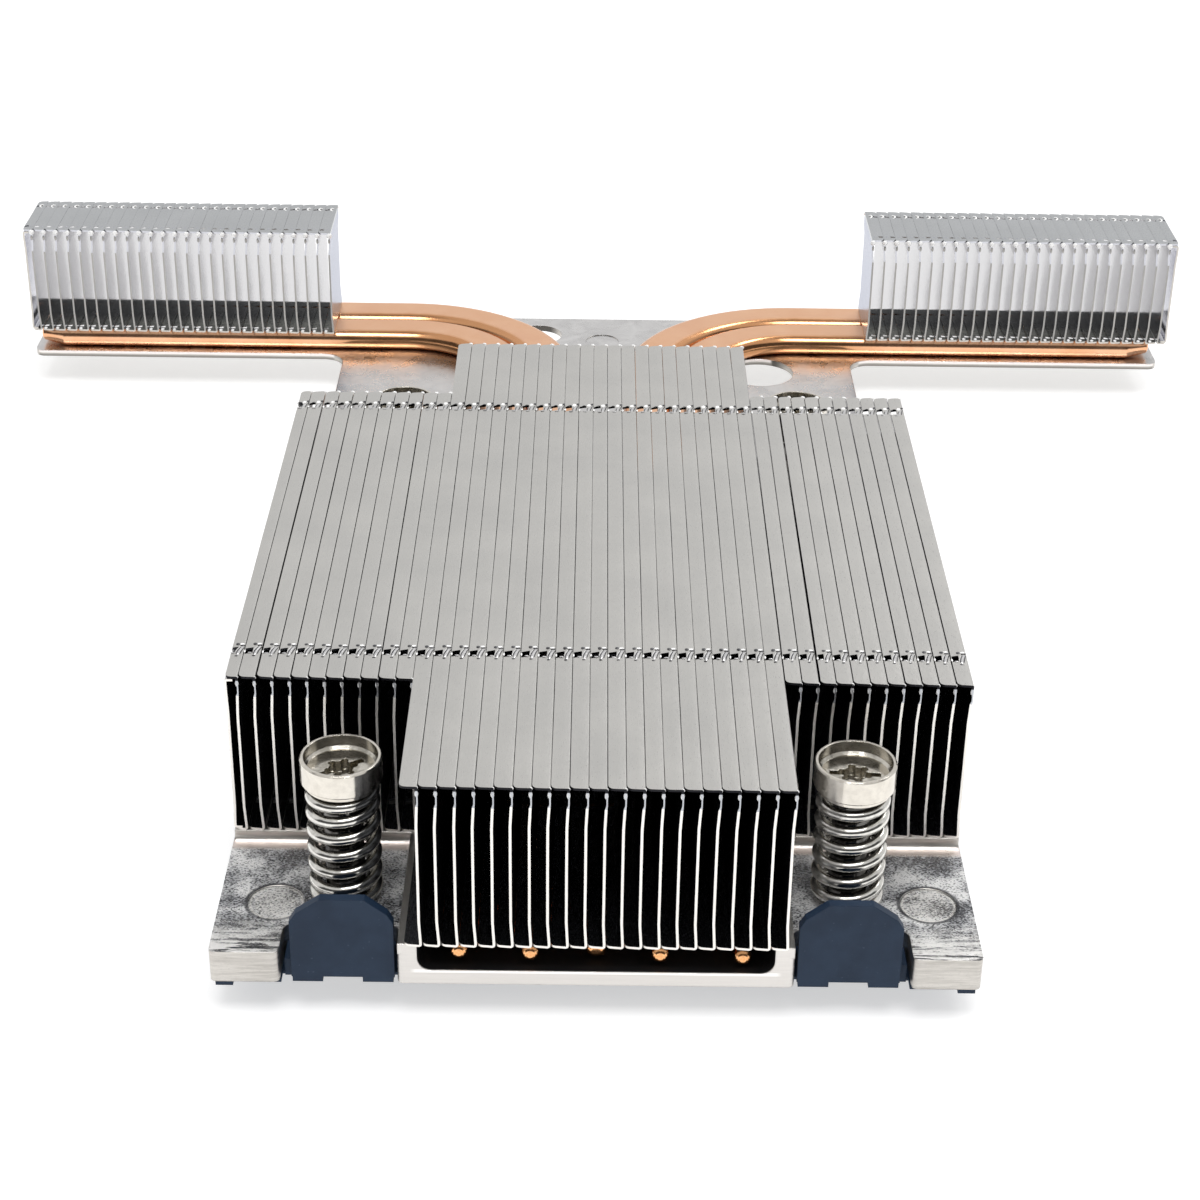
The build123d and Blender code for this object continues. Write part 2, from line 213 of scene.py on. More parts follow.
# dark grey copy of the cut edge for the wing fins' edges, the inner hook arcs and the smear under the front dots:
# painted shade
WING_EDGE_SHADE = sheet_metal("wing_cut_edge_painted_shade", (0.44, 0.425, 0.405), (0.32, 0.315, 0.305), 0.30, 0.45, EVEN, 0.006)
WING_LINE = sheet_metal("wing_foot_edge", (0.66, 0.62, 0.57), (0.50, 0.48, 0.455), 0.30, 0.45, EVEN, 0.006)


def wing_web():
    """Bright webs of the wings, with a lighter colour towards the outer ends that is painted light."""
    m = Mat("wing_web", (0.60, 0.60, 0.60), 1.0, 0.13)
    m.p.inputs["Specular Tint"].default_value = (0.735, 0.732, 0.740, 1)
    marks = m.noise(3.0, 3.0, 0.6, m.scaled((6.0, 0.35, 6.0)))
    cloud = m.noise(0.12, 3.0, 0.55)
    ax = m.math("ABSOLUTE", m.axis("X"))
    tone = m.span(m.math("ADD", m.math("MULTIPLY", marks, 0.45), m.math("MULTIPLY", cloud, 0.55)), 0.35, 0.65)
    # painted light: the outer ends get a lighter colour than the inner ones
    inner = m.mix(tone, (0.66, 0.655, 0.66), (0.72, 0.715, 0.72))
    outer = m.mix(tone, (0.75, 0.746, 0.75), (0.81, 0.806, 0.81))
    n = m.bump(marks, 0.004, 0.5)
    m.set(color=m.mix(m.span(ax, 45.0, 95.0), inner, outer), rough=m.span(marks, 0.3, 0.7, 0.10, 0.17), normal=n)
    return m.m


WING_IN = wing_web()


def wing_foot():
    """Inner side of the wings' lower flanges: dull, dark with painted shade, and darker still towards the back."""
    m = Mat("wing_foot", (0.09, 0.09, 0.09), 1.0, 0.3)
    y = m.axis("Y")
    spots = m.noise(1.6, 3.0, 0.7)
    near = m.mix(m.span(spots, 0.35, 0.65), (0.070, 0.074, 0.066), (0.225, 0.225, 0.200))
    # painted shade: darker towards the back of the wing
    col = m.mix(m.span(y, 113.5, 117.5, smooth=True), near, (0.022, 0.025, 0.026))
    m.set(color=col, rough=m.span(spots, 0.3, 0.7, 0.24, 0.38), normal=m.bump(spots, 0.01, 0.5))
    return m.m


WING_FOOT_SHADE = wing_foot()


def cast_nickel():
    """Nickel-plated die casting: grainy as-cast ears, milled lines along the
    front edge, satin front faces and a smoother, mottled rear plate."""
    m = Mat("cast_nickel", (0.56, 0.53, 0.49), 1.0, 0.3)
    x, y, z = m.axis("X"), m.axis("Y"), m.axis("Z")
    ax = m.math("ABSOLUTE", x)
    up = m.span(m.axis("Z", m.normal), 0.55, 0.85)
    fwd = m.span(m.axis("Y", m.normal), -0.55, -0.85)
    ear = m.math("MULTIPLY", up, m.band(z, 4.3, 5.6, 0.1))
    plate = m.math("MULTIPLY", up, m.math("MULTIPLY", m.span(y, 58.0, 60.0), m.band(z, 2.5, 3.1, 0.05)))
    # cast grain with coarse sparkle
    long = m.scaled((0.62, 1.10, 1.0))
    grain = m.noise(5.6, 4.0, 0.80, long)
    grit = m.voronoi(5.2, co=long)
    g = m.math("ADD", m.math("MULTIPLY", grain, 0.85), m.math("MULTIPLY", grit, 0.3))
    patch = m.noise(0.24, 3.0, 0.55)
    big = m.noise(0.30, 2.0, 0.5)
    # milled lines near the front and rear edges of the ears; their white and black colours are painted glints and
    # painted shade
    lines = m.noise(1.9, 3.0, 0.7, m.scaled((0.12, 1.0, 0.12)))
    near = m.math("MAXIMUM", m.span(m.math("ADD", y, m.math("MULTIPLY", big, 4.0)), -56.4, -49.6, 1.0, 0.0), m.span(y, 55.0, 59.0))
    near = m.math("MULTIPLY", near, ear)
    # band on the ear top at each fin platform's step, where a highlight is painted
    foot = m.math("MULTIPLY", ear, m.band(m.math("ABSOLUTE", m.math("ADD", y, -1.85)), 38.9, 40.6, 0.35))
    grain_w = m.math("MULTIPLY", ear, m.span(m.math("ADD", near, m.math("MULTIPLY", big, 0.3)), 0.25, 1.1, 1.0, 0.35))
    grain_w = m.math("MULTIPLY", grain_w, m.math("SUBTRACT", 1.0, m.math("MULTIPLY", foot, 0.85)))
    # satin side faces with faint horizontal draw marks
    draw = m.noise(2.0, 4.0, 0.7, m.scaled((0.10, 0.10, 1.6)))
    mot = m.noise(0.28, 3.0, 0.6, dist=0.6)
    col = m.mix(m.span(draw, 0.35, 0.65), (0.46, 0.437, 0.405), (0.65, 0.622, 0.583))
    col = m.mix(m.span(grain, 0.56, 0.70, 0.0, 0.35), col, (0.30, 0.29, 0.275))
    mid = m.math("MULTIPLY", fwd, m.span(ax, 21.4, 22.4, 1.0, 0.0))
    col = m.mix(m.math("MULTIPLY", mid, 0.75), col, (0.80, 0.77, 0.74))
    col = m.mix(m.math("MULTIPLY", up, 0.6), col, (0.66, 0.65, 0.63))
    # the ear grain's white and near-black specks are painted glints and painted shade over the real cast grain
    speck = m.span(m.math("ADD", g, m.math("MULTIPLY", m.math("SUBTRACT", patch, 0.5), -0.50)), 0.515, 0.60)
    ear_col = m.mix(speck, (0.050, 0.058, 0.075), (0.98, 0.98, 0.98))
    ear_col = m.mix(m.span(patch, 0.39, 0.59, 0.0, 0.82), ear_col, m.mix(speck, (0.025, 0.032, 0.045), (0.50, 0.51, 0.54)))
    col = m.mix(m.math("MULTIPLY", grain_w, 0.88), col, ear_col)
    # painted glints and painted shade along the milled lines
    col = m.mix(m.math("MULTIPLY", near, m.span(lines, 0.48, 0.51, 0.0, 0.97)), col, (0.99, 0.98, 0.96))
    col = m.mix(m.math("MULTIPLY", near, m.span(lines, 0.47, 0.44, 0.0, 0.92)), col, (0.045, 0.05, 0.06))
    # ejector marks: a dark groove, a bright burr and a grey middle
    marks = None
    for cx, cy in ((-35.7, -49.1), (37.1, -48.3)):
        ex = m.math("SUBTRACT", x, cx)
        ey = m.math("SUBTRACT", y, cy)
        r = m.math("SQRT", m.math("ADD", m.math("MULTIPLY", ex, ex), m.math("MULTIPLY", ey, ey)))
        marks = r if marks is None else m.math("MINIMUM", marks, r)
    marks = m.math("ADD", marks, m.math("MULTIPLY", m.math("SUBTRACT", grain, 0.5), 0.5))
    col = m.mix(m.math("MULTIPLY", ear, m.math("MULTIPLY", m.band(marks, 2.75, 3.10, 0.1), 0.65)), col, (0.90, 0.88, 0.84))
    col = m.mix(m.math("MULTIPLY", ear, m.math("MULTIPLY", m.math("MULTIPLY", m.band(marks, 3.10, 3.56, 0.1), m.span(big, 0.30, 0.62, 0.45, 1.0)), 0.95)), col, (0.05, 0.052, 0.058))
    col = m.mix(m.math("MULTIPLY", ear, m.math("MULTIPLY", m.span(marks, 2.9, 2.3), 0.55)), col, m.mix(speck, (0.30, 0.29, 0.28), (0.85, 0.83, 0.80)))
    # painted highlight on the ear top where it meets each fin platform's step
    col = m.mix(foot, col, (0.80, 0.715, 0.68))
    col = m.mix(m.math("MULTIPLY", plate, 0.9), col, m.mix(m.span(mot, 0.35, 0.65), (0.62, 0.61, 0.61), (0.76, 0.75, 0.745)))
    # the lip under the channel and the top of the plate's front edge carry painted highlights, the lower part of that
    # edge painted shade
    lip = m.math("MULTIPLY", m.math("MULTIPLY", fwd, m.span(y, -58.0, -58.2)), m.math("MULTIPLY", m.band(z, 2.50, 2.95, 0.04), m.span(ax, 19.6, 20.2, 1.0, 0.0)))
    rim = m.math("MULTIPLY", m.band(y, 109.6, 110.5, 0.1), fwd)
    col = m.mix(lip, col, (0.97, 0.95, 0.93))
    col = m.mix(m.math("MULTIPLY", rim, m.span(z, 2.30, 2.45)), col, (0.95, 0.89, 0.86))
    col = m.mix(m.math("MULTIPLY", rim, m.span(z, 2.25, 2.10)), col, (0.30, 0.285, 0.265))
    # painted shade on the front-facing walls of the rear plate, away from its front edge
    well_shade = m.math("MULTIPLY", m.math("MULTIPLY", fwd, m.band(y, 60.0, 126.5, 0.1)), m.math("SUBTRACT", 1.0, rim))
    well_shade = m.math("MULTIPLY", well_shade, m.span(ax, 41.2, 40.8))
    col = m.mix(m.math("MULTIPLY", well_shade, 0.9), col, (0.085, 0.082, 0.075))
    # painted shade darkens the channel around the pipes
    channel_shade = m.math("MULTIPLY", m.span(ax, 19.9, 20.1, 1.0, 0.0), m.band(y, -58.20, 58.3, 0.05))
    channel_shade = m.math("MULTIPLY", channel_shade, m.band(z, 2.62, 6.20, 0.04))
    col = m.mix(channel_shade, col, (0.045, 0.046, 0.050))
    rough = m.span(draw, 0.3, 0.7, 0.28, 0.40)
    rough = m.math("ADD", rough, m.math("MULTIPLY", grain_w, m.span(speck, 0.0, 1.0, -0.14, 0.34)))
    rough = m.math("ADD", rough, m.math("MULTIPLY", near, m.span(lines, 0.50, 0.56, 0.0, 0.22)))
    rough = m.math("ADD", rough, m.math("MULTIPLY", plate, m.span(mot, 0.3, 0.7, -0.10, 0.0)))
    rough = m.math("ADD", rough, m.math("MULTIPLY", channel_shade, 0.25))
    n = m.edge(0.25, 3)
    n = m.bump(draw, 0.02, 0.35, n)
    n = m.bump(g, 0.17, m.math("MULTIPLY", grain_w, 0.9), n)
    n = m.bump(lines, 0.16, m.math("MULTIPLY", near, 0.8), n)
    n = m.bump(mot, 0.05, m.math("MULTIPLY", plate, 0.5), n)
    m.set(color=col, rough=rough, normal=n)
    return m.m


def copper():
    """Bare drawn copper: matte peach flats where the tube was pressed, given a lighter copper as painted light; bright
    rounds with painted shade in the bends; and a deeper orange at the swaged front tips."""
    m = Mat("copper", (0.95, 0.62, 0.40), 1.0, 0.25)
    y = m.axis("Y")
    flat = m.span(m.math("ABSOLUTE", m.axis("Z", m.normal)), 0.93, 0.995)
    cloud = m.noise(0.22, 4.0, 0.6, dist=0.4)
    draw = m.noise(5.0, 3.0, 0.6)
    tint = m.noise(0.09, 2.0, 0.5)
    base = m.mix(m.span(cloud, 0.3, 0.7), (0.83, 0.42, 0.225), (0.92, 0.53, 0.32))
    top = m.mix(m.span(cloud, 0.3, 0.7), (0.95, 0.560, 0.345), (0.985, 0.640, 0.430))
    # painted light: the flats get a lighter copper than the rounds
    col = m.mix(m.math("MULTIPLY", flat, 0.9), base, top)
    col = m.mix(m.span(tint, 0.52, 0.75, 0.0, 0.4), col, (0.90, 0.53, 0.38))
    # painted shade: the bends are darkened, most on the rounds
    bend = m.math("MULTIPLY", m.span(m.math("ABSOLUTE", m.axis("X")), 50.0, 38.0, smooth=True), m.span(y, 60.0, 62.0))
    col = m.mix(m.math("MULTIPLY", bend, m.span(flat, 0.0, 1.0, 0.75, 0.22)), col, (0.66, 0.32, 0.14))
    col = m.mix(m.span(y, -49.0, -53.0), col, m.mix(m.span(draw, 0.35, 0.65), (0.93, 0.40, 0.15), (0.97, 0.55, 0.27)))
    rough = m.math("ADD", m.span(cloud, 0.3, 0.7, 0.16, 0.24), m.math("MULTIPLY", flat, 0.16))
    n = m.bump(draw, 0.008, 0.5)
    n = m.bump(cloud, 0.05, 0.25, n)
    m.set(color=col, rough=rough, normal=n)
    return m.m


def plastic():
    """Moulded dark blue-grey plastic with a fine spark-eroded grain."""
    m = Mat("carrier_plastic", (0.017, 0.030, 0.055), 0.0, 0.5)
    m.p.inputs["Specular IOR Level"].default_value = 0.28
    grain = m.noise(7.0, 2.0, 0.6)
    cloud = m.noise(0.3, 3.0, 0.5)
    col = m.mix(m.span(cloud, 0.35, 0.65), (0.0105, 0.0245, 0.052), (0.0155, 0.0335, 0.067))
    fleck = m.span(m.noise(2.2, 1.0, 0.5), 0.72, 0.80)
    col = m.mix(m.math("MULTIPLY", fleck, 0.25), col, (0.10, 0.13, 0.19))
    n = m.edge(0.18, 3)
    n = m.bump(grain, 0.02, 0.5, n)
    m.set(color=col, rough=m.span(grain, 0.3, 0.7, 0.44, 0.58), normal=n)
    return m.m


def screw_nickel():
    """Bright nickel plate over turned steel. The cup of the head is duller and painted darker as shade in its recess,
    with a fine knurl, and the shank is left dark."""
    m = Mat("screw_nickel", (0.80, 0.76, 0.69), 1.0, 0.12)
    z = m.axis("Z")
    dx = m.math("SUBTRACT", m.math("ABSOLUTE", m.axis("X")), 28.0)
    dy = m.math("SUBTRACT", m.math("ABSOLUTE", m.axis("Y")), 47.0)
    rad = m.math("SQRT", m.math("ADD", m.math("MULTIPLY", dx, dx), m.math("MULTIPLY", dy, dy)))
    haze = m.noise(0.8, 3.0, 0.6)
    rings = m.noise(1.0, 2.0, 0.5, m.scaled((0.05, 0.05, 9.0)))
    pits = m.noise(6.0, 2.0, 0.6)
    knurl = m.noise(0.9, 2.0, 0.5)
    col = m.mix(m.span(haze, 0.35, 0.65), (0.66, 0.62, 0.555), (0.76, 0.72, 0.65))
    head = m.span(z, 19.45, 19.60)
    cup = m.math("MULTIPLY", m.math("MULTIPLY", m.span(rad, 4.02, 4.09, 1.0, 0.0), m.span(z, 22.95, 22.85)), head)
    # painted shade: the cup of the head is darker
    col = m.mix(m.math("MULTIPLY", cup, 0.85), col, m.mix(m.span(knurl, 0.40, 0.60), (0.40, 0.38, 0.33), (0.66, 0.63, 0.565)))
    col = m.mix(m.math("SUBTRACT", 1.0, head), col, m.mix(m.span(rings, 0.35, 0.65), (0.085, 0.082, 0.078), (0.16, 0.155, 0.145)))
    rough = m.span(m.math("ADD", haze, m.math("MULTIPLY", pits, 0.4)), 0.5, 0.95, 0.10, 0.18)
    rough = m.math("ADD", rough, m.math("MULTIPLY", cup, 0.02))
    n = m.edge(0.12, 3)
    n = m.bump(rings, 0.006, 0.35, n)
    n = m.bump(pits, 0.006, 0.35, n)
    n = m.bump(knurl, 0.03, m.math("MULTIPLY", cup, 0.3), n)
    m.set(color=col, rough=rough, normal=n)
    return m.m


def drawn_wire():
    """Nickel-plated spring wire with lengthwise die lines."""
    m = Mat("spring_wire", (0.66, 0.64, 0.59), 1.0, 0.14)
    cloud = m.noise(1.2, 3.0, 0.6)
    pits = m.noise(9.0, 2.0, 0.6)
    col = m.mix(m.span(cloud, 0.35, 0.65), (0.62, 0.605, 0.57), (0.80, 0.785, 0.745))
    n = m.bump(pits, 0.006, 0.4)
    m.set(color=col, rough=m.span(cloud, 0.3, 0.7, 0.11, 0.19), normal=n)
    return m.m


def phosphate():
    """Dark phosphated ring steel."""
    m = Mat("ring_steel", (0.08, 0.08, 0.08), 1.0, 0.45)
    g = m.noise(5.0, 3.0, 0.6)
    col = m.mix(m.span(g, 0.3, 0.7), (0.07, 0.07, 0.072), (0.14, 0.138, 0.13))
    n = m.bump(g, 0.02, 0.5)
    m.set(color=col, rough=m.span(g, 0.3, 0.7, 0.36, 0.52), normal=n)
    return m.m


CAST = cast_nickel()
COPPER = copper()
PLASTIC = plastic()
SCREW = screw_nickel()
WIRE = drawn_wire()
RING = phosphate()


# ---------------------------------------------------------------- mesh helpers
class Build:
    """Collects vertices in millimetres and faces with a material index."""

    def __init__(self):
        self.v, self.f, self.mi = [], [], []

    def add(self, verts, faces, mat=0):
        k = len(self.v)
        self.v.extend(verts)
        for f in faces:
            self.f.append([i + k for i in f])
            self.mi.append(mat)

    def done(self, name, mats, body, sharp=32.0, node=None):
        me = bpy.data.meshes.new(name)
        me.from_pydata([(x * MM, y * MM, z * MM) for x, y, z in self.v], [], self.f)
        for m in mats:
            me.materials.append(m)
        me.polygons.foreach_set("material_index", self.mi)
        bm = bmesh.new()
        bm.from_mesh(me)
        bmesh.ops.recalc_face_normals(bm, faces=bm.faces)
        lim = math.radians(sharp)
        for f in bm.faces:
            f.smooth = True
        for e in bm.edges:
            if len(e.link_faces) == 2 and e.calc_face_angle(0.0) > lim:
                e.smooth = False
        bm.to_mesh(me)
        bm.free()
        ob = bpy.data.objects.new(name, me)
        scene.collection.objects.link(ob)
        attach(ob, body)
        if node:
            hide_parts(node)
        return ob


def bead(b, c, r, mat, n=8, k=5):
    """Small closed ellipsoid at c with radii r."""
    v, f = [(c[0], c[1], c[2] - r[2])], []
    for i in range(1, k):
        a = math.pi * i / k
        for j in range(n):
            t = 2 * math.pi * j / n
            v.append((c[0] + r[0] * math.sin(a) * math.cos(t), c[1] + r[1] * math.sin(a) * math.sin(t), c[2] - r[2] * math.cos(a)))
    v.append((c[0], c[1], c[2] + r[2]))
    top = len(v) - 1
    for j in range(n):
        j2 = (j + 1) % n
        f.append([0, 1 + j2, 1 + j])
        for i in range(k - 2):
            a = 1 + i * n
            f.append([a + j, a + j2, a + n + j2, a + n + j])
        a = 1 + (k - 2) * n
        f.append([a + j, a + j2, top])
    b.add(v, f, mat)


def ribbon(b, path, mat):
    """Closed rounded strip through path points (x, y, z, half width, half
    thickness, tilt in degrees)."""
    rings, n = [], 8
    for i, (x, y, z, w, t, tilt) in enumerate(path):
        p0, p1 = path[max(i - 1, 0)], path[min(i + 1, len(path) - 1)]
        d = Vector((p1[0] - p0[0], p1[1] - p0[1], p1[2] - p0[2])).normalized()
        side = d.cross(Vector((0, 0, 1))).normalized()
        up = side.cross(d).normalized()
        a = math.radians(tilt)
        s2 = side * math.cos(a) + up * math.sin(a)
        u2 = up * math.cos(a) - side * math.sin(a)
        ring = []
        for j in range(n):
            q = 2 * math.pi * (j + 0.5) / n
            cx, cy = math.cos(q), math.sin(q)
            sx = math.copysign(abs(cx) ** 0.6, cx)
            sy = math.copysign(abs(cy) ** 0.6, cy)
            ring.append(Vector((x, y, z)) + s2 * (w * sx) + u2 * (t * sy))
        rings.append(ring)
    v = [tuple(p) for r in rings for p in r]
    f = []
    for i in range(len(rings) - 1):
        for j in range(n):
            j2 = (j + 1) % n
            f.append([i * n + j, i * n + j2, (i + 1) * n + j2, (i + 1) * n + j])
    f.append(list(range(n))[::-1])
    m = (len(rings) - 1) * n
    f.append([m + j for j in range(n)])
    b.add(v, f, mat)


# ------------------------------------------------------------------------ fins
T = 0.28         # sheet thickness
RO = 0.34        # outside radius of the lower bends
RT = 0.19        # outside radius of the upper bends, which lie close together
RI = 0.03        # inside radius
JOG = 0.15
SINK = 0.08      # the flanges lie this much below the hooks' crest

# material slots of every fin piece
M_TOP, M_IN, M_EDGE, M_BRIGHT, M_SIDE, M_NECK, M_DARK, M_LIP, M_DOT, M_LAST = range(10)


def strip(b, xk, side, yr, z1, pts, w, t, mat, tilt=0.0, lift=0.0):
    """Rounded strip over the sheet through points (u, dy), crest just under z1."""
    path = []
    n = len(pts)
    a = abs(math.radians(tilt))
    for i, (u, dy) in enumerate(pts):
        k = 0.55 if i in (0, n - 1) else 1.0
        sink = 0.10 if i in (0, n - 1) else 0.0
        top = z1 - 0.005 - lift - sink - t * k * math.cos(a) - w * k * math.sin(a)
        path.append((xk + side * u, yr + dy, top, w * k, t * k, tilt * -side))
    ribbon(b, path, mat)


def lump(b, xk, side, yr, z1, u, dy, r, mat, lift=0.0):
    bead(b, (xk + side * u, yr + dy, z1 - 0.005 - lift - r[2]), r, mat, 8, 5)


def front_hook(b, xk, side, yr, z1, R, rnd):
    """Interlock seen as a twisted hook across the flange beside its window."""
    du, dy, tw = rnd.uniform(-0.04, 0.04), rnd.uniform(-0.08, 0.08), rnd.uniform(-6, 6)
    xk += side * du
    yr += dy
    # the M_DARK strips and lumps are painted shadows; the M_DOT lumps and the light M_SIDE lump at the window's lower
    # corner are painted highlights
    strip(b, xk, side, yr, z1, ((0.12, 1.15), (0.28, 0.70), (0.47, 0.15), (0.60, -0.40), (0.66, -0.85), (0.68, -1.12)), 0.19, 0.08, M_SIDE, 24 + tw)
    strip(b, xk, side, yr, z1, ((0.52, 1.00), (0.66, 0.62), (0.82, 0.20), (0.93, -0.15), (0.98, -0.45)), 0.070, 0.07, M_BRIGHT, 0)
    strip(b, xk, side, yr, z1, ((0.38, 1.02), (0.55, 0.55), (0.72, 0.02), (0.84, -0.50), (0.90, -0.95)), 0.075, 0.05, M_DARK, 0, 0.035)
    strip(b, xk, side, yr, z1, ((0.03, 0.95), (0.18, 0.45), (0.33, -0.10), (0.42, -0.60), (0.46, -1.02)), 0.060, 0.05, M_DARK, 0, 0.035)
    lump(b, xk, side, yr, z1, 0.92, 1.40 + rnd.uniform(-0.06, 0.06), (0.24, 0.22, 0.07), M_DARK, 0.01)
    lump(b, xk, side, yr, z1, 0.42, 1.42, (0.28, 0.20, 0.09), M_DOT)
    lump(b, xk, side, yr, z1, 0.30, 1.10, (0.34, 0.10, 0.05), M_DARK, 0.01)
    lump(b, xk, side, yr, z1, 0.80, -1.22, (0.20, 0.11, 0.04), M_DARK, 0.045)
    lump(b, xk, side, yr, z1, R - 0.04 - du, -0.32, (0.11, 0.32, 0.08), M_DOT)
    lump(b, xk, side, yr, z1, 1.30, -0.58, (0.26, 0.13, 0.06), M_SIDE, 0.03)


def rear_hook(b, xk, side, yr, z1, R, rnd):
    du, dy = rnd.uniform(-0.04, 0.04), rnd.uniform(-0.06, 0.06)
    xk += side * du
    yr += dy
    # the M_DARK strips and lumps are painted shadows; the M_DOT lumps and the light M_SIDE lump at the window's lower
    # corner are painted highlights
    strip(b, xk, side, yr, z1, ((0.25, 0.75), (0.50, 0.15), (0.66, -0.55), (0.72, -1.25)), 0.17, 0.07, M_SIDE, 20)
    strip(b, xk, side, yr, z1, ((0.05, 1.00), (0.22, 0.30), (0.36, -0.45), (0.44, -1.20)), 0.07, 0.05, M_DARK, 0, 0.035)
    strip(b, xk, side, yr, z1, ((0.62, 0.40), (0.80, -0.20), (0.90, -0.95)), 0.075, 0.05, M_DARK, 0, 0.03)
    strip(b, xk, side, yr, z1, ((1.70, 0.62), (1.30, 0.86), (0.95, 1.02)), 0.06, 0.04, M_DARK, 0, 0.035)
    lump(b, xk, side, yr, z1, 0.62, 1.00, (0.35, 0.46, 0.20), M_DOT)
    lump(b, xk, side, yr, z1, 0.16, 1.25, (0.20, 0.26, 0.06), M_DARK, 0.01)
    lump(b, xk, side, yr, z1, R - 0.06 - du, -0.62, (0.13, 0.34, 0.08), M_DOT)
    lump(b, xk, side, yr, z1, 1.10, -1.00, (0.30, 0.16, 0.05), M_SIDE, 0.03)


def wing_hook(b, xk, side, yr, z1, R, rnd, rear):
    dy = rnd.uniform(-0.05, 0.05)
    yr += dy
    if rear:
        # a painted highlight arc in M_DOT with a painted shade arc in M_EDGE inside it
        strip(b, xk, side, yr, z1, ((0.34, 0.60), (0.74, 0.64), (1.00, 0.20), (0.90, -0.34), (0.48, -0.60)), 0.15, 0.06, M_DOT, 0, 0.0)
        strip(b, xk, side, yr, z1, ((0.40, 0.34), (0.66, 0.34), (0.78, 0.12), (0.72, -0.16), (0.50, -0.34)), 0.070, 0.05, M_EDGE, 0, 0.01)
    else:
        strip(b, xk, side, yr, z1, ((0.25, 0.50), (0.55, 0.10), (0.72, -0.40)), 0.13, 0.06, M_SIDE, 14, 0.01)


